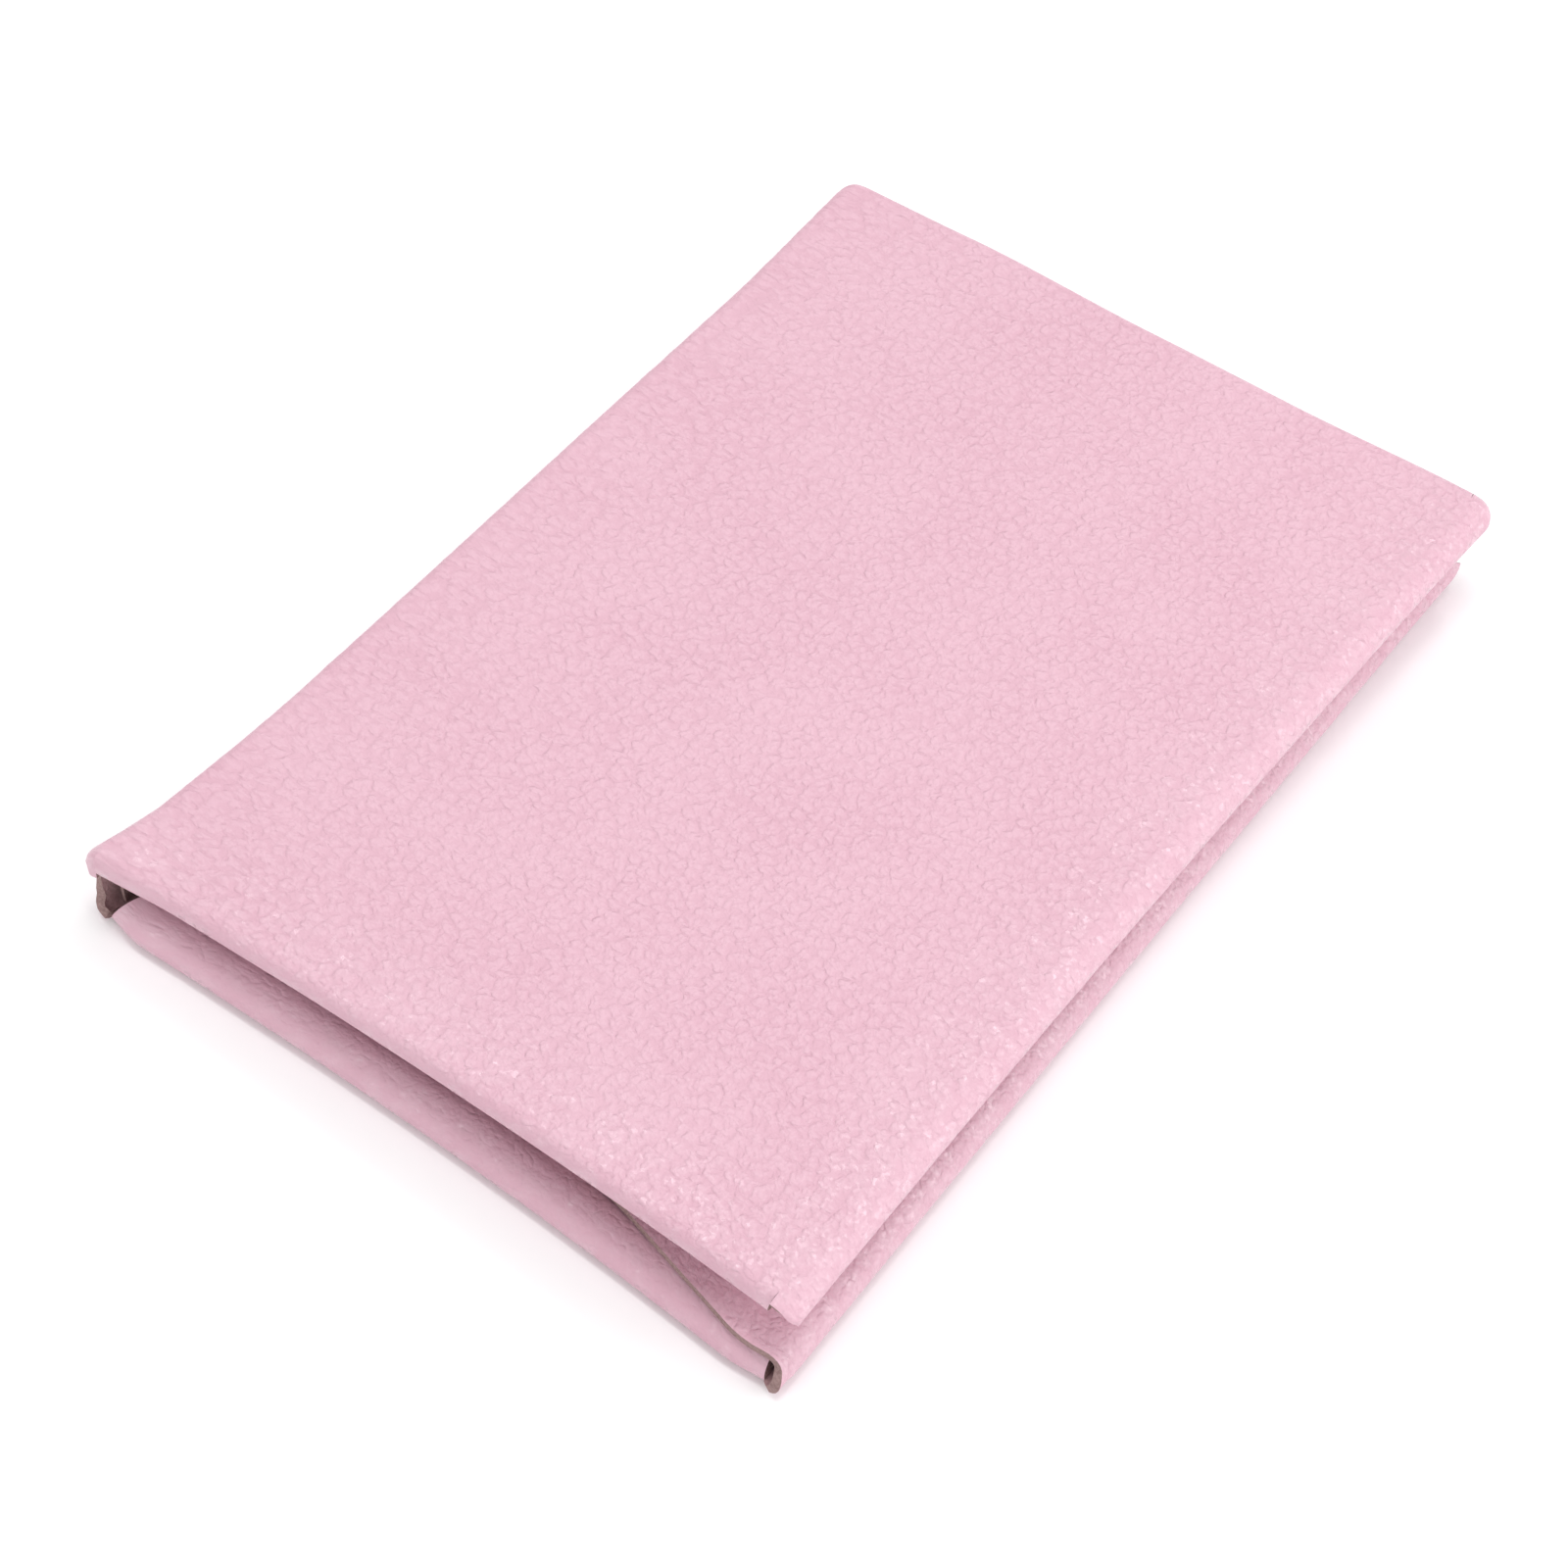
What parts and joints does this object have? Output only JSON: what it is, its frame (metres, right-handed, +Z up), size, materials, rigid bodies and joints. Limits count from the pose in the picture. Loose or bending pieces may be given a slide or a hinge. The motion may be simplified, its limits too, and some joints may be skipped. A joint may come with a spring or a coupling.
{
  "type": "passport holder",
  "caption": "Folded goatskin passport holder lying closed, with stiffened covers that open flat about a spine wall and inner sleeves for the booklet's covers.",
  "frame": {"origin": "bottom centre of the closed holder, on the face that it rests on", "axes": "+Y from the tail to the head along the spine, the longest side; +X from the spine to the fore edge; +Z up through the covers, the thinnest side"},
  "size_m": [0.095, 0.136, 0.013],
  "materials": {
    "goatskin": "pebbled pale pink grain with a soft gloss, brown flesh side and cut edges",
    "lining": "matt brown split leather",
    "board": "uncoated fibre board"
  },
  "bodies": {
    "back_cover": {"back_outer_panel": "goatskin", "back_fore_edge_fold": "goatskin", "back_tail_turn_in": "goatskin", "back_head_turn_in": "goatskin", "back_stiffener_board": "board", "back_lining": "lining"},
    "spine": {"spine_panel": "goatskin", "spine_reinforcement": "lining"},
    "front_cover": {"front_outer_panel": "goatskin", "front_fore_edge_fold": "goatskin", "front_tail_turn_in": "goatskin", "front_head_turn_in": "goatskin", "front_stiffener_board": "board", "front_lining": "lining"},
    "back_sleeve": {"back_sleeve_panel": "goatskin"},
    "front_sleeve": {"front_sleeve_panel": "goatskin"}
  },
  "joints": [
    {"name": "back_fold", "type": "hinge", "parent": "back_cover", "child": "spine", "pos_m": [-0.0475, 0, 0], "axis": [0, -1, 0], "range_deg": [0, 90]},
    {"name": "front_fold", "type": "hinge", "parent": "spine", "child": "front_cover", "pos_m": [-0.0475, 0, 0.013], "axis": [0, -1, 0], "range_deg": [0, 90]},
    {"name": "back_sleeve_fold", "type": "hinge", "parent": "back_cover", "child": "back_sleeve", "pos_m": [0.0454, 0, 0.00365], "axis": [0, 1, 0], "range_deg": [0, 1.6], "stiffness_Nm_per_rad": 0.2},
    {"name": "front_sleeve_fold", "type": "hinge", "parent": "front_cover", "child": "front_sleeve", "pos_m": [0.0454, 0, 0.00935], "axis": [0, -1, 0], "range_deg": [0, 1.6], "stiffness_Nm_per_rad": 0.2}
  ]
}
